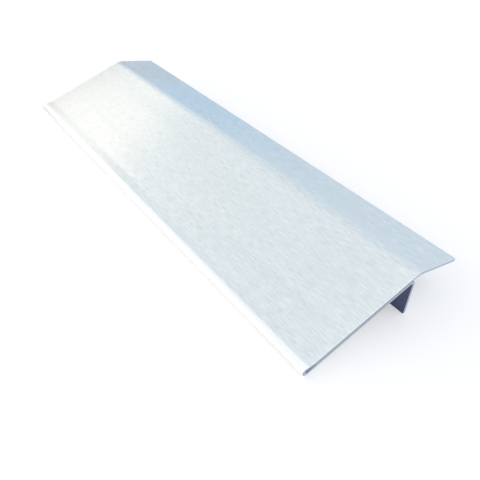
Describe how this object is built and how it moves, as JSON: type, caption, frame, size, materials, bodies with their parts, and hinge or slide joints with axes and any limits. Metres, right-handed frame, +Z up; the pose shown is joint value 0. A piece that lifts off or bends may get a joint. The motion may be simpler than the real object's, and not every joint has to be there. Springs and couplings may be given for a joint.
{
  "type": "stainless steel transition profile",
  "caption": "Folded stainless steel ramp strip that bridges two floors of different height, with a hemmed front edge, a supporting leg and a sprung flange.",
  "frame": {"origin": "on the low floor, under the middle of the strip's bounding box", "axes": "+X along the strip, +Y across it from the hemmed front edge to the flange, +Z up"},
  "size_m": [0.15, 0.047, 0.0118],
  "materials": {
    "brushed_stainless": "satin, grain lines along the length"
  },
  "bodies": {
    "root": {"folded_strip": "brushed_stainless"}
  },
  "joints": []
}
